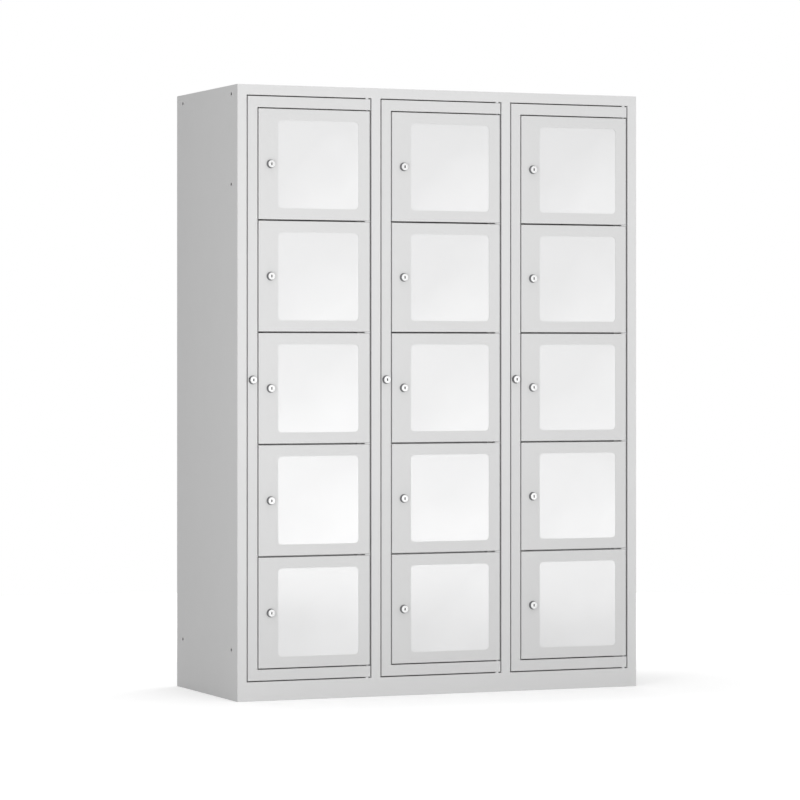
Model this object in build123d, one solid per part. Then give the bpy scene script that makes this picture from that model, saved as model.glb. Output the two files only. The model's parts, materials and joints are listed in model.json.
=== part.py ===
from build123d import *
import os

# Steel parcel locker with three columns of five windowed doors. Each column has a tall access frame
# on pivot pins, and the five small doors of that column hang on the frame, so that one lock opens
# the whole column for loading and one lock opens each compartment for collection.
#
# X runs along the front, Y from the front face to the back, Z up from the floor. The origin is the
# centre of the cabinet's footprint. Inside a column, u is measured from the left edge of the
# column's opening and v is the depth behind the front face.

# Cabinet
WIDTH = 1200.0
DEPTH = 500.0
HEIGHT = 1670.0
COLUMNS = ("left", "middle", "right")
ROWS = 5
SHEET = 1.0  # steel sheet of every folded piece
BEND = 1.5  # outer radius of a folded front edge
STILE = 27.0  # upright band of the face beside each column
TOP_RAIL = 28.0
BOTTOM_RAIL = 52.0
BASE_LIP = 20.0  # fold under the front, which stands on the floor
PANEL_FLANGE = 15.0  # folds that join the panels at the back and the floor
DIVIDER_FLANGE = 10.0
STOP_LIP = 8.0  # strip that stops the access frame and holds its cam

# Joining holes in the side panels
SIDE_HOLE = 4.5  # radius
SIDE_HOLE_INSET = 50.0  # from the front and the back
SIDE_HOLE_TOP = 24.0  # below the top
SIDE_HOLE_LOW = 137.0  # above the floor
SIDE_HOLE_THIRD = 245.0  # extra front hole, below the top one

# Shelves
SHELF_SETBACK = 10.0  # behind the returns of the face
SHELF_FRONT_FOLD = 20.0
SHELF_FLANGE = 12.0

# Access frames
FRAME_GAP = 3.0  # around the frame, in its opening
FRAME_STRIP = 30.0  # top and bottom strips of the frame
STOP_GAP = 1.0  # between the shut frame and the cabinet's stop lip
STRIKE_LIP = 10.0  # strip that stops the doors and holds their cams
STILE_BAR = 28.0  # upright behind the hinge side of the doors
STILE_BAR_SHEET = 1.5
STILE_BAR_FOLD = 8.0
STILE_BAR_INSET = 6.0  # from the hinge side of the opening
HINGE_TAB = 15.0
HINGE_TAB_GAP = 0.5  # to the doors above and below the tab
HINGE_TAB_SETBACK = 0.5

# Doors
DOOR_DEPTH = 16.0
DOOR_GAP = 4.0  # between two doors
DOOR_EDGE_GAP = 3.0  # to the strips of the frame
DOOR_HINGE_GAP = 5.0  # to the face at the hinge side
DOOR_STOP_GAP = 3.0  # between the shut door and the strike lip
DOOR_REAR_LIP = 8.0

# Windows
WINDOW_HINGE_MARGIN = 33.0
WINDOW_END_MARGIN = 30.2  # above and below
WINDOW_RADIUS = 12.0
PANE = 3.0  # thickness
PANE_LAP = 7.0  # behind the door skin, all round
PANE_RADIUS = 8.0

# Pivots
PIVOT_INSET = 12.0  # from the hinge side of the opening
PIVOT_DEPTH = 6.0
DOOR_PIN = 2.5  # radius
FRAME_PIN = 3.0  # radius
PIN_RUNNING_FIT = 0.05  # radial
PIN_TIGHT_FIT = 0.02  # radial
PIN_REACH = 6.0  # past the sheet that turns on it
PIN_HEAD = 2.0  # how far the head stands out from the shank
PIN_HEAD_HEIGHT = 2.5
WASHER_CLEARANCE = 0.3

# Cam locks
LOCK_INSET = 35.0  # from the free edge of the door
ACCESS_LOCK_HEIGHT = 870.0
HEAD_RADIUS = 9.6  # at the front, before its edge is rounded
HEAD_OUT = 9.0
HEAD_ROUND = 1.0
COLLAR_RADIUS = 12.0
COLLAR = 1.0
BARREL_RADIUS = 9.0
BARREL_FIT = 0.1
NUT_ACROSS = 24.0  # across flats
NUT = 4.0
NUT_FIT = 0.05
NUT_CLEARANCE = 1.0  # to the folds of the access frame
PANE_CLEARANCE = 2.0  # from the nut to the window pane
PLUG_RADIUS = 6.5
PLUG_FIT = 0.05
PLUG_RECESS = 0.3
KEY_SLOT_WIDTH = 3.4
KEY_SLOT_HEIGHT = 7.0
KEY_SLOT_DEPTH = 5.0
SHANK = 8.0  # square end of the plug
SHANK_FIT = 0.05
CAM = 2.5
CAM_WIDTH = 16.0
CAM_CORNER = 3.0
CAM_GAP = 1.0  # from the barrel and from the lip that the cam locks behind
DOOR_CAM_REACH = 40.0
ACCESS_CAM_REACH = 26.0
SCREW_RADIUS = 2.0
SCREW_FIT = 0.05
SCREW_LENGTH = 10.0
SCREW_HEAD_RADIUS = 5.5
SCREW_HEAD = 3.0

# Places that follow from the sizes above
INSIDE = WIDTH / 2 - SHEET
BACK = DEPTH - SHEET  # front of the back panel
FLANGE_BACK = BACK - SHEET
UNDER_TOP = HEIGHT - SHEET
OPENING = (WIDTH - (len(COLUMNS) + 1) * STILE) / len(COLUMNS)
OPENING_TOP = HEIGHT - TOP_RAIL
COLUMN_LEFTS = [-WIDTH / 2 + STILE + i * (OPENING + STILE) for i in range(len(COLUMNS))]
DIVIDER_PLACES = [left - STILE / 2 for left in COLUMN_LEFTS[1:]]

FRAME_DEPTH = DOOR_DEPTH + DOOR_STOP_GAP + SHEET
FACE_RETURN = FRAME_DEPTH + STOP_GAP + SHEET
FRAME_RIGHT = OPENING - FRAME_GAP
FRAME_BOTTOM = BOTTOM_RAIL + FRAME_GAP
FRAME_TOP = OPENING_TOP - FRAME_GAP
LOCK_STRIP = NUT_ACROSS + 2 * (SHEET + NUT_CLEARANCE)
STRIP_RIGHT = FRAME_GAP + LOCK_STRIP
BAY_BOTTOM = FRAME_BOTTOM + FRAME_STRIP
BAY_TOP = FRAME_TOP - FRAME_STRIP

DOOR_LEFT = STRIP_RIGHT + DOOR_EDGE_GAP
DOOR_RIGHT = OPENING - DOOR_HINGE_GAP
DOOR_HEIGHT = (BAY_TOP - BAY_BOTTOM - 2 * DOOR_EDGE_GAP - (ROWS - 1) * DOOR_GAP) / ROWS
DOOR_PITCH = DOOR_HEIGHT + DOOR_GAP
HINGE_TAB_SHEET = DOOR_GAP - 2 * HINGE_TAB_GAP
# Row 1 is the top row.
DOOR_BOTTOMS = [BAY_TOP - DOOR_EDGE_GAP - DOOR_HEIGHT - i * DOOR_PITCH for i in range(ROWS)]
GAP_CENTRES = [bottom - DOOR_GAP / 2 for bottom in DOOR_BOTTOMS[:-1]]

PIVOT_U = OPENING - PIVOT_INSET
DOOR_LOCK_U = DOOR_LEFT + LOCK_INSET
ACCESS_LOCK_U = FRAME_GAP + LOCK_STRIP / 2
DOOR_CAM_FRONT = FRAME_DEPTH + CAM_GAP
ACCESS_CAM_FRONT = FACE_RETURN + CAM_GAP
WINDOW_LEFT = DOOR_LOCK_U + NUT_ACROSS / 2 + PANE_CLEARANCE + PANE_LAP
WINDOW_RIGHT = DOOR_RIGHT - WINDOW_HINGE_MARGIN
SHELF_FRONT = FACE_RETURN + SHELF_SETBACK


def block(x0, x1, v0, v1, z0, z1):
    """A box between two corners."""
    return Pos(x0, v0 - DEPTH / 2, z0) * Box(x1 - x0, v1 - v0, z1 - z0, align=(Align.MIN,) * 3)


def rod(radius, v0, v1):
    """A round bar along Y, on x = 0 and z = 0."""
    bar = Cylinder(radius, v1 - v0, align=(Align.CENTER, Align.CENTER, Align.MIN))
    return Pos(0, v0 - DEPTH / 2, 0) * Rot(-90, 0, 0) * bar


def post(radius, z0, z1):
    """A round bar along Z, on the pivot axis of a column."""
    bar = Cylinder(radius, z1 - z0, align=(Align.CENTER, Align.CENTER, Align.MIN))
    return Pos(PIVOT_U, PIVOT_DEPTH - DEPTH / 2, z0) * bar


def taper(rear_radius, front_radius, v0, v1):
    """A round bar along Y that widens from v0 to v1, on x = 0 and z = 0."""
    cone = Cone(front_radius, rear_radius, v1 - v0, align=(Align.CENTER, Align.CENTER, Align.MIN))
    return Pos(0, v0 - DEPTH / 2, 0) * Rot(-90, 0, 0) * cone


def front_face(piece):
    return piece.faces().sort_by(Axis.Y)[0]


def save(name, pieces):
    """Writes one node, as a single solid or as a group of separate solids."""
    solids = [solid for piece in pieces for solid in piece.solids()]
    export_step(solids[0] if len(solids) == 1 else Compound(solids), f"parts/{name}.step")


# Cabinet


def front_frame():
    """The face with its three openings, each with a folded return and a stop lip."""
    frame = block(-WIDTH / 2, WIDTH / 2, 0, SHEET, 0, HEIGHT)
    frame += block(-INSIDE, INSIDE, 0, BASE_LIP, 0, SHEET)
    for left in COLUMN_LEFTS:
        sleeve = block(-SHEET, OPENING + SHEET, 0, FACE_RETURN, BOTTOM_RAIL - SHEET, OPENING_TOP + SHEET)
        frame += Pos(left, 0, 0) * sleeve
        frame -= Pos(left, 0, 0) * block(0, OPENING, 0, FACE_RETURN, BOTTOM_RAIL, OPENING_TOP)
    frame = fillet([edge for rim in front_face(frame).inner_wires() for edge in rim.edges()], BEND)
    frame = fillet(front_face(frame).outer_wire().edges(), SHEET * 0.6)
    for left in COLUMN_LEFTS:
        lip = block(0, STOP_LIP, FACE_RETURN - SHEET, FACE_RETURN, BOTTOM_RAIL, OPENING_TOP)
        frame += Pos(left, 0, 0) * lip
        frame -= Pos(left, 0, 0) * post(FRAME_PIN + PIN_TIGHT_FIT, BOTTOM_RAIL - SHEET, BOTTOM_RAIL)
        frame -= Pos(left, 0, 0) * post(FRAME_PIN + PIN_TIGHT_FIT, OPENING_TOP, OPENING_TOP + SHEET)
    return frame


def left_side_panel():
    """A side sheet with its joining holes, and the strips that stiffen its front, back and bottom."""
    outer = -WIDTH / 2
    inner = -INSIDE + PANEL_FLANGE
    sheet = block(outer, -INSIDE, SHEET, DEPTH, 0, UNDER_TOP)
    high = HEIGHT - SIDE_HOLE_TOP
    front, rear = SIDE_HOLE_INSET - DEPTH / 2, DEPTH / 2 - SIDE_HOLE_INSET
    holes = [(front, high), (rear, high), (front, SIDE_HOLE_LOW), (rear, SIDE_HOLE_LOW)]
    for y, z in holes + [(front, high - SIDE_HOLE_THIRD)]:
        sheet -= Pos(outer, y, z) * Rot(0, 90, 0) * Cylinder(SIDE_HOLE, 3 * SHEET)
    front_strip = block(-INSIDE, inner, SHEET, 2 * SHEET, SHEET, UNDER_TOP)
    rear_strip = block(-INSIDE, inner, FLANGE_BACK, BACK, 0, UNDER_TOP)
    foot_strip = block(-INSIDE, inner, FACE_RETURN, FLANGE_BACK, 0, SHEET)
    return [sheet, front_strip, rear_strip, foot_strip]


def side_strips(v0, z0, z1):
    """Strips along both sides of the cabinet, from v0 to the back."""
    lefts = (-INSIDE, INSIDE - SHEET)
    return [block(left, left + SHEET, v0, FLANGE_BACK, z0, z1) for left in lefts]


def top_panel():
    """The top sheet, and the strips below it at the front, the back and both sides."""
    low = HEIGHT - PANEL_FLANGE
    inner = INSIDE - PANEL_FLANGE - SHEET
    sheet = block(-WIDTH / 2, WIDTH / 2, SHEET, DEPTH, UNDER_TOP, HEIGHT)
    front_strip = block(-inner, inner, SHEET, 2 * SHEET, low, UNDER_TOP)
    rear_strip = block(-inner, inner, FLANGE_BACK, BACK, low, UNDER_TOP)
    return [sheet, front_strip, rear_strip] + side_strips(2 * SHEET, low, UNDER_TOP)


def base_panel():
    """The floor of the lowest compartments, level with the bottom rail's return, and its strips."""
    under = BOTTOM_RAIL - SHEET
    low = BOTTOM_RAIL - PANEL_FLANGE
    inner = INSIDE - PANEL_FLANGE - SHEET
    sheet = block(-INSIDE, INSIDE, FACE_RETURN, FLANGE_BACK, under, BOTTOM_RAIL)
    rear_strip = block(-inner, inner, FLANGE_BACK, BACK, low, BOTTOM_RAIL)
    return [sheet, rear_strip] + side_strips(FACE_RETURN, low, under)


def back_panel():
    return block(-INSIDE, INSIDE, BACK, DEPTH, 0, UNDER_TOP)


def divider(place):
    """An upright sheet between two columns, with a strip behind the stile and one at the back."""
    left, right = place - SHEET / 2, place + SHEET / 2
    edge = left - DIVIDER_FLANGE
    top = HEIGHT - PANEL_FLANGE - SHEET
    sheet = block(left, right, 2 * SHEET, FLANGE_BACK, BOTTOM_RAIL, UNDER_TOP)
    front_strip = block(edge, right, SHEET, 2 * SHEET, BOTTOM_RAIL, top)
    rear_strip = block(edge, right, FLANGE_BACK, BACK, BOTTOM_RAIL, top)
    return [sheet, front_strip, rear_strip]


def shelf(left_wall, right_wall, centre):
    """A shelf between two walls, folded down on all four sides."""
    top = centre + SHEET / 2
    under = centre - SHEET / 2
    piece = block(left_wall, right_wall, SHELF_FRONT, FLANGE_BACK, under, top)
    piece += block(left_wall, right_wall, SHELF_FRONT, SHELF_FRONT + SHEET, top - SHELF_FRONT_FOLD, under)
    piece += block(left_wall, right_wall, FLANGE_BACK - SHEET, FLANGE_BACK, top - SHELF_FLANGE, under)
    for side in (left_wall, right_wall - SHEET):
        piece += block(
            side, side + SHEET, SHELF_FRONT + SHEET, FLANGE_BACK - SHEET, top - SHELF_FLANGE, under
        )
    return piece


def shelves():
    """Four shelves in each column, one behind each gap between two doors."""
    lefts = [-INSIDE] + [place + SHEET / 2 for place in DIVIDER_PLACES]
    rights = [place - SHEET / 2 for place in DIVIDER_PLACES] + [INSIDE]
    return [shelf(left, right, centre) for left, right in zip(lefts, rights) for centre in GAP_CENTRES]


def frame_pivot_pins():
    """Headed pins that carry an access frame, in the returns above and below its opening."""
    lower = post(FRAME_PIN, BOTTOM_RAIL - SHEET - PIN_HEAD_HEIGHT, FRAME_BOTTOM + SHEET + PIN_REACH)
    lower += post(FRAME_PIN + PIN_HEAD, BOTTOM_RAIL - SHEET - PIN_HEAD_HEIGHT, BOTTOM_RAIL - SHEET)
    lower += post(FRAME_PIN + PIN_HEAD, BOTTOM_RAIL, FRAME_BOTTOM - WASHER_CLEARANCE)
    head_base = OPENING_TOP + SHEET
    upper = post(FRAME_PIN, FRAME_TOP - SHEET - PIN_REACH, head_base + PIN_HEAD_HEIGHT)
    upper += post(FRAME_PIN + PIN_HEAD, head_base, head_base + PIN_HEAD_HEIGHT)
    upper += post(FRAME_PIN + PIN_HEAD, FRAME_TOP + WASHER_CLEARANCE, OPENING_TOP)
    return [Pos(left, 0, 0) * pin for left in COLUMN_LEFTS for pin in (lower, upper)]


# Cam locks, on x = 0 and z = 0


def lock_barrel(length):
    """A fixed barrel: tapered head with a rounded rim, thin collar and a bore for the plug."""
    head = taper(COLLAR_RADIUS, HEAD_RADIUS, -HEAD_OUT, -COLLAR)
    head = fillet(front_face(head).edges(), HEAD_ROUND)
    barrel = head + rod(COLLAR_RADIUS, -COLLAR, 0) + rod(BARREL_RADIUS, 0, length)
    return barrel - rod(PLUG_RADIUS + PLUG_FIT, -HEAD_OUT, length)


def lock_nut():
    """A hexagon nut that clamps the barrel from behind the sheet."""
    hexagon = RegularPolygon(NUT_ACROSS / 2, 6, major_radius=False, rotation=30)
    nut = Pos(0, SHEET - DEPTH / 2, 0) * Rot(-90, 0, 0) * extrude(hexagon, NUT)
    return nut - rod(BARREL_RADIUS + NUT_FIT, SHEET, SHEET + NUT)


def lock_plug(cam_front):
    """The turning plug, with its key slot, square end and tapped hole."""
    face = PLUG_RECESS - HEAD_OUT
    half = SHANK / 2
    plug = rod(PLUG_RADIUS, face, cam_front) + block(-half, half, cam_front, cam_front + CAM, -half, half)
    slot_x, slot_z = KEY_SLOT_WIDTH / 2, KEY_SLOT_HEIGHT / 2
    plug -= block(-slot_x, slot_x, face, face + KEY_SLOT_DEPTH, -slot_z, slot_z)
    end = cam_front + CAM
    return plug - rod(SCREW_RADIUS + SCREW_FIT, end - SCREW_LENGTH, end)


def lock_cam(cam_front, reach):
    """A flat cam that hangs down when the lock is open."""
    half = CAM_WIDTH / 2
    arm = block(-half, half, cam_front, cam_front + CAM, -reach, 0)
    arm = fillet(arm.edges().filter_by(Axis.Y).group_by(Axis.Z)[0], CAM_CORNER)
    hole = SHANK / 2 + SHANK_FIT
    cam = arm + rod(half, cam_front, cam_front + CAM)
    return cam - block(-hole, hole, cam_front, cam_front + CAM, -hole, hole)


def cam_screw(cam_front):
    end = cam_front + CAM
    return rod(SCREW_RADIUS, end - SCREW_LENGTH, end) + rod(SCREW_HEAD_RADIUS, end, end + SCREW_HEAD)


def turning_lock(cam_front, reach):
    return [lock_plug(cam_front), lock_cam(cam_front, reach), cam_screw(cam_front)]


# Access frames


def frame_shell():
    """The channel along the lock side, top and bottom, folded from one sheet."""
    far = FRAME_RIGHT
    left = STRIP_RIGHT - SHEET
    shell = block(FRAME_GAP, far, 0, FRAME_DEPTH, FRAME_BOTTOM, FRAME_TOP)
    shell -= block(
        FRAME_GAP + SHEET, far - SHEET, SHEET, FRAME_DEPTH, FRAME_BOTTOM + SHEET, FRAME_TOP - SHEET
    )
    shell -= block(left, far, 0, FRAME_DEPTH, BAY_BOTTOM - SHEET, BAY_TOP + SHEET)
    shell += block(left, STRIP_RIGHT, 0, FRAME_DEPTH, BAY_BOTTOM - SHEET, BAY_TOP + SHEET)
    shell += block(left, far, 0, FRAME_DEPTH, BAY_BOTTOM - SHEET, BAY_BOTTOM)
    shell += block(left, far, 0, FRAME_DEPTH, BAY_TOP, BAY_TOP + SHEET)
    return fillet(front_face(shell).outer_wire().edges(), BEND)


def stile_bar():
    """The angle behind the hinge side of the doors, and the tabs that carry their pins."""
    right = OPENING - STILE_BAR_INSET
    left = right - STILE_BAR
    back = FRAME_DEPTH + STILE_BAR_SHEET
    bar = block(left, right, FRAME_DEPTH, back, FRAME_BOTTOM, FRAME_TOP)
    bar += block(left, left + STILE_BAR_SHEET, back, FRAME_DEPTH + STILE_BAR_FOLD, FRAME_BOTTOM, FRAME_TOP)
    tab_right = DOOR_RIGHT + SHEET
    for centre in GAP_CENTRES:
        low = centre - HINGE_TAB_SHEET / 2
        high = low + HINGE_TAB_SHEET
        bar += block(tab_right - HINGE_TAB, tab_right, HINGE_TAB_SETBACK, FRAME_DEPTH, low, high)
    return bar


def access_frame():
    """The swinging frame of one column, with its lock hole and its pivot holes."""
    frame = frame_shell() + stile_bar()
    frame += block(
        STRIP_RIGHT, STRIP_RIGHT + STRIKE_LIP, FRAME_DEPTH - SHEET, FRAME_DEPTH, BAY_BOTTOM, BAY_TOP
    )
    frame -= Pos(ACCESS_LOCK_U, 0, ACCESS_LOCK_HEIGHT) * rod(BARREL_RADIUS + BARREL_FIT, 0, SHEET)
    for low in (FRAME_BOTTOM, FRAME_TOP - SHEET):
        frame -= post(FRAME_PIN + PIN_RUNNING_FIT, low, low + SHEET)
    frame -= post(DOOR_PIN + PIN_TIGHT_FIT, BAY_BOTTOM - SHEET, BAY_TOP + SHEET)
    return frame


def door_pivot_pins():
    """One pin above the top door, one in each tab between two doors and one below the last door."""
    shoulder = DOOR_PIN + PIN_HEAD
    head = BAY_TOP + SHEET + PIN_HEAD_HEIGHT
    top = post(DOOR_PIN, DOOR_BOTTOMS[0] + DOOR_HEIGHT - SHEET - PIN_REACH, head)
    top += post(shoulder, BAY_TOP + SHEET, head)
    reach = DOOR_GAP / 2 + SHEET + PIN_REACH
    middle = [post(DOOR_PIN, centre - reach, centre + reach) for centre in GAP_CENTRES]
    foot = BAY_BOTTOM - SHEET - PIN_HEAD_HEIGHT
    bottom = post(DOOR_PIN, foot, DOOR_BOTTOMS[-1] + SHEET + PIN_REACH)
    bottom += post(shoulder, foot, BAY_BOTTOM - SHEET)
    bottom += post(shoulder, BAY_BOTTOM, DOOR_BOTTOMS[-1] - WASHER_CLEARANCE)
    return [top] + middle + [bottom]


def access_frame_group():
    """The frame with what is fixed to it: pins, lock barrel and nut."""
    lock = Pos(ACCESS_LOCK_U, 0, ACCESS_LOCK_HEIGHT)
    barrel = lock * lock_barrel(ACCESS_CAM_FRONT - CAM_GAP)
    return [access_frame()] + door_pivot_pins() + [barrel, lock * lock_nut()]


# Doors, with z measured from the lower edge of the door


def rounded_plate(left, right, v0, v1, end_margin, radius):
    """An upright plate behind the door's skin, with its four corners rounded."""
    plate = block(left, right, v0, v1, end_margin, DOOR_HEIGHT - end_margin)
    return fillet(plate.edges().filter_by(Axis.Y), radius)


def door_tray():
    """The folded door: skin, four edges, rear lips, window, lock hole and pivot holes."""
    tray = block(DOOR_LEFT, DOOR_RIGHT, 0, DOOR_DEPTH, 0, DOOR_HEIGHT)
    tray = fillet(front_face(tray).edges(), BEND)
    rear = DOOR_DEPTH - SHEET
    tray -= block(DOOR_LEFT + SHEET, DOOR_RIGHT - SHEET, SHEET, rear, SHEET, DOOR_HEIGHT - SHEET)
    lip = DOOR_REAR_LIP
    tray -= block(DOOR_LEFT + lip, DOOR_RIGHT - lip, rear, DOOR_DEPTH, lip, DOOR_HEIGHT - lip)
    tray -= rounded_plate(WINDOW_LEFT, WINDOW_RIGHT, 0, SHEET, WINDOW_END_MARGIN, WINDOW_RADIUS)
    tray -= Pos(DOOR_LOCK_U, 0, DOOR_HEIGHT / 2) * rod(BARREL_RADIUS + BARREL_FIT, 0, SHEET)
    return tray - post(DOOR_PIN + PIN_RUNNING_FIT, 0, DOOR_HEIGHT)


def door_group():
    """The door with what is fixed to it: lock barrel and nut."""
    lock = Pos(DOOR_LOCK_U, 0, DOOR_HEIGHT / 2)
    return [door_tray(), lock * lock_barrel(DOOR_CAM_FRONT - CAM_GAP), lock * lock_nut()]


def window_pane():
    left, right = WINDOW_LEFT - PANE_LAP, WINDOW_RIGHT + PANE_LAP
    return rounded_plate(left, right, SHEET, SHEET + PANE, WINDOW_END_MARGIN - PANE_LAP, PANE_RADIUS)


def save_cabinet():
    side = left_side_panel()
    save("left_side_panel", side)
    save("right_side_panel", [mirror(piece, Plane.YZ) for piece in side])
    save("top_panel", top_panel())
    save("base_panel", base_panel())
    save("back_panel", [back_panel()])
    save("front_frame", [front_frame()])
    save("dividers", [piece for place in DIVIDER_PLACES for piece in divider(place)])
    save("shelves", shelves())
    save("frame_pivot_pins", frame_pivot_pins())


def save_columns():
    frame = access_frame_group()
    access_lock = turning_lock(ACCESS_CAM_FRONT, ACCESS_CAM_REACH)
    door = door_group()
    pane = window_pane()
    door_lock = turning_lock(DOOR_CAM_FRONT, DOOR_CAM_REACH)
    for column, left in zip(COLUMNS, COLUMN_LEFTS):
        lock_place = Pos(left + ACCESS_LOCK_U, 0, ACCESS_LOCK_HEIGHT)
        save(f"access_frame_{column}", [Pos(left, 0, 0) * piece for piece in frame])
        save(f"access_lock_{column}", [lock_place * piece for piece in access_lock])
        for row, bottom in enumerate(DOOR_BOTTOMS, start=1):
            place = Pos(left, 0, bottom)
            lock_place = Pos(left + DOOR_LOCK_U, 0, bottom + DOOR_HEIGHT / 2)
            save(f"door_{column}_{row}", [place * piece for piece in door])
            save(f"window_{column}_{row}", [place * pane])
            save(f"door_lock_{column}_{row}", [lock_place * piece for piece in door_lock])


os.makedirs("parts", exist_ok=True)
save_cabinet()
save_columns()
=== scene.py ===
import bpy
import json
import math
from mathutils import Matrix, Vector


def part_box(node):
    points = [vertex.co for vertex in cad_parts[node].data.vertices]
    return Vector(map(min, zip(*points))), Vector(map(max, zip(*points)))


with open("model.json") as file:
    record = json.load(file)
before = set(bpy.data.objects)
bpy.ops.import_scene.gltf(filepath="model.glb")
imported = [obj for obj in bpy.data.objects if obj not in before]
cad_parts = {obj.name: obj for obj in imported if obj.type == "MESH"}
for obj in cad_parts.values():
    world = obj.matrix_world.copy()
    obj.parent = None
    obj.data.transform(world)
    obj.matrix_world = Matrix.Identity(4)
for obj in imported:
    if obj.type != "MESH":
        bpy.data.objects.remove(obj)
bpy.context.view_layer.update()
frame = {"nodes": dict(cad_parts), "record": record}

# Metres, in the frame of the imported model: X along the front, Y to the back, Z up.
COLUMNS = ("left", "middle", "right")
ROWS = (1, 2, 3, 4, 5)

# Camera
CAMERA_PLACE = Vector((-3.8504, -9.1922, 0.9357))
CAMERA_YAW = math.radians(22.62)  # turned from +Y towards +X
CAMERA_LENS = 158.36  # mm, on a sensor of the width below
CAMERA_SENSOR = 36.0
CAMERA_SHIFT_Y = -0.0554

# Tones of the object
CABINET_GREY = 0.645
# Doors and access frames take the cabinet's coat a little darker: painted shade.
DOOR_GREY_PAINTED_SHADE = 0.625
COAT_DARKEST = 0.985  # the coat's darkest clouds, as a share of its grey

# Noise textures keep mostly between these two values.
NOISE_LOW = 0.3
NOISE_HIGH = 0.7

# Faces that are told apart on the locks
FRONT_NORMAL = -0.6  # a face with a normal below this in Y looks to the front
SLOT_FROM = 0.0002  # the key slot's walls and bottom lie this far behind the plug's face,
SLOT_TO = 0.0055
SLOT_REACH = 0.006  # and this near to its axis
PROUD = 0.001  # a lock barrel stands at least this far in front of the front frame

# Panes
CELL_MARGIN = 0.01  # the painted reflection's cells begin this far to the left of and below each pane
FIRST_CELL = 8.0  # keeps the number of a cell above zero

# Stage
FLOOR_RADIUS = 4.0
FLOOR_SIDES = 96
FLOOR_BOUNCE = 0.64  # what the floor reflects onto the object
GLOW_FROM = (1.0, 0.20)  # distance from the middle, and strength of the floor's glow
GLOW_TO = (2.5, 0.70)
CARD_PLACE = Vector((2.4, -5.8, 0.0))
CARD_WIDTH = 3.4
CARD_LEVELS = [  # height, and strength of the card's glow
    (-0.9, 2.2),
    (-0.5, 2.7),
    (0.0, 2.5),
    (0.4, 1.95),
    (0.8, 1.3),
    (1.3, 0.95),
    (1.8, 0.6),
    (2.7, 0.2),
]
AMBIENT = 0.53

# Lights: name, place, target, width, height and watts
FRONT_LIGHTS = [
    ("key", (1.0, -5.0, 2.8), (0.0, 0.0, 0.9), 3.0, 2.4, 26.0),
    ("fill", (0.7, -5.2, 0.1), (0.2, 0.0, 0.1), 3.0, 1.2, 73.0),
    ("side_fill", (-2.4, -2.6, 0.8), (-0.6, -0.2, 0.8), 1.0, 1.4, 28.0),
]
TOP_LIGHTS = [
    ("overhead", (0.0, -0.5, 5.5), (0.0, -0.49, 0.0), 7.0, 7.0, 75.0),
    ("contact", (0.1, 0.85, 5.5), (0.1, 0.86, 0.0), 2.2, 1.0, 60.0),
]


# Meshes


def islands(mesh):
    """The separate solids of a mesh, each as a list of polygon indices."""
    places, parent = {}, []

    def root(i):
        while parent[i] != i:
            parent[i] = parent[parent[i]]
            i = parent[i]
        return i

    merged = []
    for vertex in mesh.vertices:
        key = tuple(round(c, 6) for c in vertex.co)
        if key not in places:
            places[key] = len(parent)
            parent.append(len(parent))
        merged.append(places[key])
    for polygon in mesh.polygons:
        first = root(merged[polygon.vertices[0]])
        for index in polygon.vertices[1:]:
            parent[root(merged[index])] = first
    groups = {}
    for polygon in mesh.polygons:
        groups.setdefault(root(merged[polygon.vertices[0]]), []).append(polygon.index)
    return list(groups.values())


def island_box(mesh, polygons):
    points = [mesh.vertices[i].co for p in polygons for i in mesh.polygons[p].vertices]
    low = Vector([min(p[k] for p in points) for k in range(3)])
    high = Vector([max(p[k] for p in points) for k in range(3)])
    return low, high


# Materials


def grey(level, blue=0.0):
    """A neutral colour, with a little more blue where that is given."""
    return (level, level, level + blue)


def new_material(name):
    material = bpy.data.materials.new(name)
    material.use_nodes = True
    nodes = material.node_tree.nodes
    return material, nodes, material.node_tree.links, nodes["Principled BSDF"]


def object_noise(nodes, links, scale, detail=2.0, stretch=(1.0, 1.0, 1.0)):
    coordinates = nodes.new("ShaderNodeTexCoord")
    mapping = nodes.new("ShaderNodeMapping")
    mapping.inputs["Scale"].default_value = stretch
    noise = nodes.new("ShaderNodeTexNoise")
    noise.inputs["Scale"].default_value = scale
    noise.inputs["Detail"].default_value = detail
    links.new(coordinates.outputs["Object"], mapping.inputs["Vector"])
    links.new(mapping.outputs["Vector"], noise.inputs["Vector"])
    return noise


def ramp(nodes, links, source, low, high, start=NOISE_LOW, end=NOISE_HIGH):
    node = nodes.new("ShaderNodeValToRGB")
    node.color_ramp.elements[0].position = start
    node.color_ramp.elements[0].color = (*low, 1.0)
    node.color_ramp.elements[1].position = end
    node.color_ramp.elements[1].color = (*high, 1.0)
    links.new(source, node.inputs["Fac"])
    return node.outputs["Color"]


def value_range(nodes, links, source, low, high, start=NOISE_LOW, end=NOISE_HIGH):
    node = nodes.new("ShaderNodeMapRange")
    node.inputs["From Min"].default_value = start
    node.inputs["From Max"].default_value = end
    node.inputs["To Min"].default_value = low
    node.inputs["To Max"].default_value = high
    links.new(source, node.inputs["Value"])
    return node.outputs["Result"]


def add_bump(nodes, links, shader, source, distance):
    bump = nodes.new("ShaderNodeBump")
    bump.inputs["Strength"].default_value = 1.0
    bump.inputs["Distance"].default_value = distance
    links.new(source, bump.inputs["Height"])
    links.new(bump.outputs["Normal"], shader.inputs["Normal"])


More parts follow.
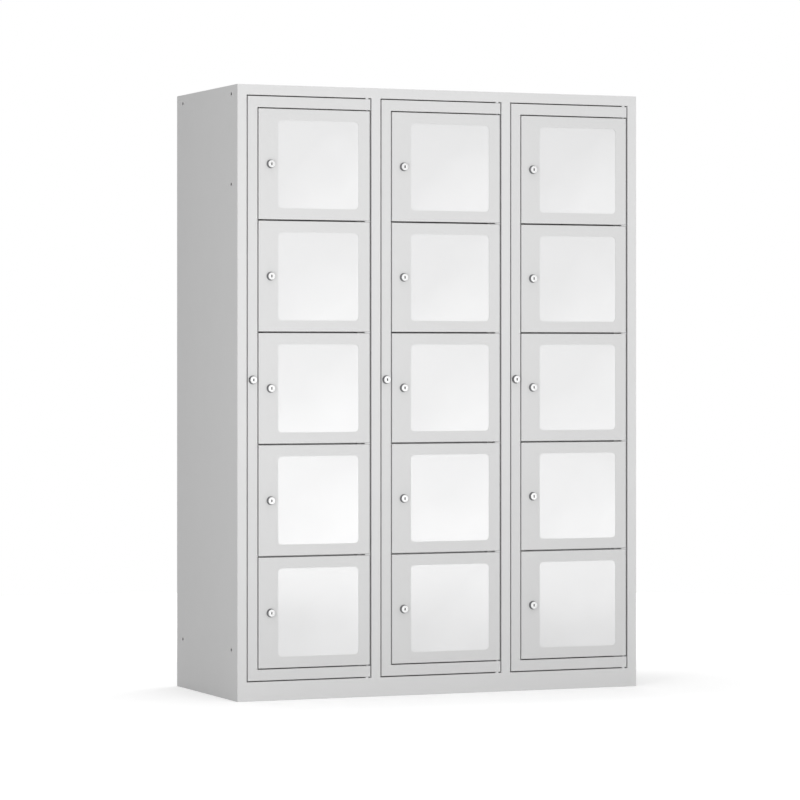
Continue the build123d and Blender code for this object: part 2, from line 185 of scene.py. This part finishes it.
def powder_coat(name, level):
    """Satin light grey powder coat: cloudy tone, uneven gloss and fine orange peel."""
    material, nodes, links, shader = new_material(name)
    clouds = object_noise(nodes, links, scale=3.0, detail=4.0)
    tone = ramp(nodes, links, clouds.outputs["Fac"], grey(level * COAT_DARKEST), grey(level))
    links.new(tone, shader.inputs["Base Color"])
    smears = object_noise(nodes, links, scale=14.0, detail=3.0)
    gloss = value_range(nodes, links, smears.outputs["Fac"], 0.40, 0.48)
    links.new(gloss, shader.inputs["Roughness"])
    peel = object_noise(nodes, links, scale=900.0, detail=1.5)
    add_bump(nodes, links, shader, peel.outputs["Fac"], distance=0.00006)
    shader.inputs["Specular IOR Level"].default_value = 0.4
    return material


def cell_position(nodes, links, source, start, pitch):
    """How far a point lies across its cell of a regular row that begins at start, from 0 to 1."""
    scaled = nodes.new("ShaderNodeMath")
    scaled.operation = "MULTIPLY_ADD"
    scaled.inputs[1].default_value = 1.0 / pitch
    scaled.inputs[2].default_value = -start / pitch + FIRST_CELL
    links.new(source, scaled.inputs[0])
    part = nodes.new("ShaderNodeMath")
    part.operation = "FRACT"
    links.new(scaled.outputs[0], part.inputs[0])
    return part.outputs[0]


def opal_pane():
    """Glossy near-white acrylic, a little wavy, with a painted reflection that makes each pane
    greyer towards its upper left corner and paler towards its lower right.
    """
    material, nodes, links, shader = new_material("opal_pane")
    low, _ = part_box("window_left_5")
    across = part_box("window_middle_5")[0][0] - low[0]
    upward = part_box("window_left_4")[0][2] - low[2]
    coordinates = nodes.new("ShaderNodeTexCoord")
    split = nodes.new("ShaderNodeSeparateXYZ")
    links.new(coordinates.outputs["Object"], split.inputs["Vector"])
    right = cell_position(nodes, links, split.outputs["X"], low[0] - CELL_MARGIN, across)
    up = cell_position(nodes, links, split.outputs["Z"], low[2] - CELL_MARGIN, upward)
    # Painted reflection: across each pane the colour rises from its upper left to its lower right
    # corner, with random clouds on top.
    painted_reflection_slope = nodes.new("ShaderNodeMath")
    painted_reflection_slope.operation = "SUBTRACT"
    links.new(right, painted_reflection_slope.inputs[0])
    links.new(up, painted_reflection_slope.inputs[1])
    clouds = object_noise(nodes, links, scale=9.0, detail=1.0)
    cloudy = nodes.new("ShaderNodeMath")
    cloudy.operation = "MULTIPLY_ADD"
    cloudy.inputs[1].default_value = 0.5
    links.new(clouds.outputs["Fac"], cloudy.inputs[0])
    links.new(painted_reflection_slope.outputs[0], cloudy.inputs[2])
    tones = grey(0.708, 0.003), grey(0.768, 0.003)
    tone = ramp(nodes, links, cloudy.outputs[0], *tones, start=0.0, end=0.6)
    links.new(tone, shader.inputs["Base Color"])
    shader.inputs["Roughness"].default_value = 0.14
    shader.inputs["IOR"].default_value = 1.65
    shader.inputs["Specular IOR Level"].default_value = 0.75
    waves = object_noise(nodes, links, scale=3.2, detail=0.0)
    add_bump(nodes, links, shader, waves.outputs["Fac"], distance=0.004)
    return material


def lock_nickel():
    """Satin nickel face of a lock: pale haze over a weak mirror, with fine brushing; beside the
    dark flanks its pale haze is partly a painted highlight.
    """
    material, nodes, links, shader = new_material("lock_nickel")
    haze = object_noise(nodes, links, scale=420.0, detail=3.0, stretch=(1.0, 1.0, 6.0))
    tone = ramp(nodes, links, haze.outputs["Fac"], grey(0.82), grey(0.90))
    links.new(tone, shader.inputs["Base Color"])
    gloss = value_range(nodes, links, haze.outputs["Fac"], 0.26, 0.34)
    links.new(gloss, shader.inputs["Roughness"])
    shader.inputs["Metallic"].default_value = 0.3
    return material


def lock_flank_painted_shade():
    """Painted shade: darker, smoother chrome on the flank of a lock head, a shaded copy of the
    nickel on its face.
    """
    material, nodes, links, shader = new_material("lock_flank_painted_shade")
    haze = object_noise(nodes, links, scale=260.0, detail=3.0)
    tone = ramp(nodes, links, haze.outputs["Fac"], grey(0.20, 0.01), grey(0.28, 0.01))
    links.new(tone, shader.inputs["Base Color"])
    gloss = value_range(nodes, links, haze.outputs["Fac"], 0.14, 0.24)
    links.new(gloss, shader.inputs["Roughness"])
    shader.inputs["Metallic"].default_value = 1.0
    return material


def zinc_steel():
    """Bright zinc plating, finely mottled, on nuts, cams, screws and door pins."""
    material, nodes, links, shader = new_material("zinc_steel")
    grain = object_noise(nodes, links, scale=700.0, detail=4.0)
    tone = ramp(nodes, links, grain.outputs["Fac"], grey(0.62, 0.01), grey(0.78))
    links.new(tone, shader.inputs["Base Color"])
    gloss = value_range(nodes, links, grain.outputs["Fac"], 0.28, 0.42)
    links.new(gloss, shader.inputs["Roughness"])
    add_bump(nodes, links, shader, grain.outputs["Fac"], distance=0.00003)
    shader.inputs["Metallic"].default_value = 1.0
    return material


def slot_painted_shade():
    """Painted shade: the unlit inside of a key slot, made near-black."""
    material, nodes, links, shader = new_material("key_slot_painted_shade")
    grain = object_noise(nodes, links, scale=900.0)
    tone = ramp(nodes, links, grain.outputs["Fac"], grey(0.02), grey(0.05))
    links.new(tone, shader.inputs["Base Color"])
    shader.inputs["Roughness"].default_value = 0.6
    return material


def paint_node(name, first, *rest):
    """Gives a CAD node its materials; the first one covers every face."""
    slots = frame["nodes"][name].data.materials
    slots.clear()
    for material in (first, *rest):
        slots.append(material)
    for polygon in frame["nodes"][name].data.polygons:
        polygon.material_index = 0


def paint_fixed_pieces(name, front):
    """On a sheet that carries a lock: nickel faces and chrome flanks in front, zinc behind; the
    pale face and the dark flank are a lit and a shaded copy of one metal.
    """
    nickel, zinc, chrome = 1, 2, 3
    mesh = frame["nodes"][name].data
    groups = islands(mesh)
    sheet = max(groups, key=lambda g: (island_box(mesh, g)[1] - island_box(mesh, g)[0]).length)
    for group in groups:
        if group is sheet:
            continue
        barrel = island_box(mesh, group)[0].y < front
        for p in group:
            polygon = mesh.polygons[p]
            # Painted light: a barrel head is split by facing, pale nickel on its front and painted
            # shade in dark chrome on its flanks.
            head = nickel if polygon.normal.y < FRONT_NORMAL else chrome
            polygon.material_index = head if barrel else zinc


def paint_lock(name):
    """Nickel plug with painted shade in its key slot, zinc cam and screw."""
    zinc, slot = 1, 2
    mesh = frame["nodes"][name].data
    groups = islands(mesh)
    plug = min(groups, key=lambda g: island_box(mesh, g)[0].y)
    low, high = island_box(mesh, plug)
    axis = (low + high) / 2
    for group in groups:
        if group is not plug:
            for p in group:
                mesh.polygons[p].material_index = zinc
    for p in plug:
        polygon = mesh.polygons[p]
        offset = polygon.center - axis
        # The key slot's walls and bottom take the painted shade.
        behind = low.y + SLOT_FROM < polygon.center.y < low.y + SLOT_TO
        if behind and math.hypot(offset.x, offset.z) < SLOT_REACH:
            polygon.material_index = slot


def dress_nodes():
    cabinet = powder_coat("cabinet_paint", CABINET_GREY)
    doors = powder_coat("door_paint", DOOR_GREY_PAINTED_SHADE)
    pane, zinc, slot = opal_pane(), zinc_steel(), slot_painted_shade()
    nickel, chrome = lock_nickel(), lock_flank_painted_shade()
    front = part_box("front_frame")[0][1] - PROUD
    for node in frame["record"]["behaviour"]["bodies"]["cabinet"]:
        paint_node(node, nickel if node == "frame_pivot_pins" else cabinet)
    for column in COLUMNS:
        leaves = [(f"access_frame_{column}", f"access_lock_{column}")]
        for row in ROWS:
            leaves.append((f"door_{column}_{row}", f"door_lock_{column}_{row}"))
            paint_node(f"window_{column}_{row}", pane)
        for leaf, lock in leaves:
            paint_node(leaf, doors, nickel, zinc, chrome)
            paint_fixed_pieces(leaf, front)
            paint_node(lock, nickel, zinc, slot)
            paint_lock(lock)


# Stage


def link(obj):
    bpy.context.scene.collection.objects.link(obj)
    return obj


def floor_glow(nodes, links):
    """Little glow under the cabinet, and more towards the rim, where the floor meets the white."""
    coordinates = nodes.new("ShaderNodeTexCoord")
    distance = nodes.new("ShaderNodeVectorMath")
    distance.operation = "LENGTH"
    links.new(coordinates.outputs["Object"], distance.inputs[0])
    (start, low), (end, high) = GLOW_FROM, GLOW_TO
    return value_range(nodes, links, distance.outputs["Value"], low, high, start, end)


def make_floor():
    """A round white floor, which bounces less light than it shows."""
    turns = [2 * math.pi * i / FLOOR_SIDES for i in range(FLOOR_SIDES)]
    points = [(FLOOR_RADIUS * math.cos(a), FLOOR_RADIUS * math.sin(a), 0) for a in turns]
    mesh = bpy.data.meshes.new("floor")
    mesh.from_pydata(points, [], [list(range(len(points)))])
    floor = link(bpy.data.objects.new("floor", mesh))
    material, nodes, links, shader = new_material("floor_white")
    specks = object_noise(nodes, links, scale=6.0)
    tone = ramp(nodes, links, specks.outputs["Fac"], grey(0.965), grey(0.975))
    links.new(tone, shader.inputs["Base Color"])
    shader.inputs["Roughness"].default_value = 0.9
    shader.inputs["Specular IOR Level"].default_value = 0.1
    shader.inputs["Emission Color"].default_value = (1.0, 1.0, 1.0, 1.0)
    links.new(floor_glow(nodes, links), shader.inputs["Emission Strength"])
    dim = nodes.new("ShaderNodeBsdfDiffuse")
    dim.inputs["Color"].default_value = (*grey(FLOOR_BOUNCE), 1.0)
    path = nodes.new("ShaderNodeLightPath")
    mix = nodes.new("ShaderNodeMixShader")
    links.new(path.outputs["Is Camera Ray"], mix.inputs["Fac"])
    links.new(dim.outputs["BSDF"], mix.inputs[1])
    links.new(shader.outputs["BSDF"], mix.inputs[2])
    links.new(mix.outputs["Shader"], nodes["Material Output"].inputs["Surface"])
    mesh.materials.append(material)


def make_world():
    """White to the camera, and a dimmer even light on the object."""
    world = bpy.data.worlds.new("studio")
    bpy.context.scene.world = world
    world.use_nodes = True
    nodes, links = world.node_tree.nodes, world.node_tree.links
    nodes.clear()
    seen = nodes.new("ShaderNodeBackground")
    seen.inputs["Color"].default_value = (1.0, 1.0, 1.0, 1.0)
    lit = nodes.new("ShaderNodeBackground")
    lit.inputs["Color"].default_value = (1.0, 1.0, 1.0, 1.0)
    lit.inputs["Strength"].default_value = AMBIENT
    path = nodes.new("ShaderNodeLightPath")
    mix = nodes.new("ShaderNodeMixShader")
    output = nodes.new("ShaderNodeOutputWorld")
    links.new(path.outputs["Is Camera Ray"], mix.inputs["Fac"])
    links.new(lit.outputs["Background"], mix.inputs[1])
    links.new(seen.outputs["Background"], mix.inputs[2])
    links.new(mix.outputs["Shader"], output.inputs["Surface"])


def area_light(name, place, target, width, height, power):
    data = bpy.data.lights.new(name, "AREA")
    data.shape = "RECTANGLE"
    data.size, data.size_y = width, height
    data.energy = power
    light = link(bpy.data.objects.new(name, data))
    light.location = place
    light.rotation_euler = (Vector(target) - Vector(place)).to_track_quat("-Z", "Y").to_euler()
    light.visible_camera = False
    return light


def card_glow():
    """A glow that follows the card's levels from its foot to its top."""
    material = bpy.data.materials.new("card")
    material.use_nodes = True
    nodes, links = material.node_tree.nodes, material.node_tree.links
    nodes.clear()
    low, high = CARD_LEVELS[0][0], CARD_LEVELS[-1][0]
    peak = max(level for _, level in CARD_LEVELS)
    coordinates = nodes.new("ShaderNodeTexCoord")
    split = nodes.new("ShaderNodeSeparateXYZ")
    height = nodes.new("ShaderNodeMapRange")
    height.inputs["From Min"].default_value = low
    height.inputs["From Max"].default_value = high
    glow = nodes.new("ShaderNodeValToRGB")
    elements = glow.color_ramp.elements
    while len(elements) < len(CARD_LEVELS):
        elements.new(0.5)
    for element, (z, level) in zip(elements, CARD_LEVELS):
        element.position = (z - low) / (high - low)
        element.color = (*grey(level / peak), 1.0)
    emission = nodes.new("ShaderNodeEmission")
    emission.inputs["Strength"].default_value = peak
    output = nodes.new("ShaderNodeOutputMaterial")
    links.new(coordinates.outputs["Object"], split.inputs["Vector"])
    links.new(split.outputs["Z"], height.inputs["Value"])
    links.new(height.outputs["Result"], glow.inputs["Fac"])
    links.new(glow.outputs["Color"], emission.inputs["Color"])
    links.new(emission.outputs["Emission"], output.inputs["Surface"])
    return material


def make_card():
    """An upright card that the locks and panes mirror, brighter towards its foot."""
    half, low, high = CARD_WIDTH / 2, CARD_LEVELS[0][0], CARD_LEVELS[-1][0]
    corners = [(-half, 0, low), (half, 0, low), (half, 0, high), (-half, 0, high)]
    mesh = bpy.data.meshes.new("card")
    mesh.from_pydata(corners, [], [(0, 1, 2, 3)])
    card = link(bpy.data.objects.new("card", mesh))
    card.location = CARD_PLACE
    card.rotation_euler = (0.0, 0.0, CAMERA_YAW)
    card.visible_camera = False
    mesh.materials.append(card_glow())


def make_lights():
    """Soft front lights that nothing mirrors, a wide top light and one for contact shade."""
    for light in FRONT_LIGHTS:
        area_light(*light).visible_glossy = False
    for light in TOP_LIGHTS:
        area_light(*light)


def make_camera():
    data = bpy.data.cameras.new("camera")
    data.sensor_width = CAMERA_SENSOR
    data.lens = CAMERA_LENS
    data.shift_y = CAMERA_SHIFT_Y
    camera = link(bpy.data.objects.new("camera", data))
    camera.location = CAMERA_PLACE
    camera.rotation_euler = (math.pi / 2, 0.0, -CAMERA_YAW)
    bpy.context.scene.camera = camera


dress_nodes()
make_floor()
make_lights()
make_card()
make_world()
make_camera()
bpy.context.scene.view_settings.view_transform = "Standard"
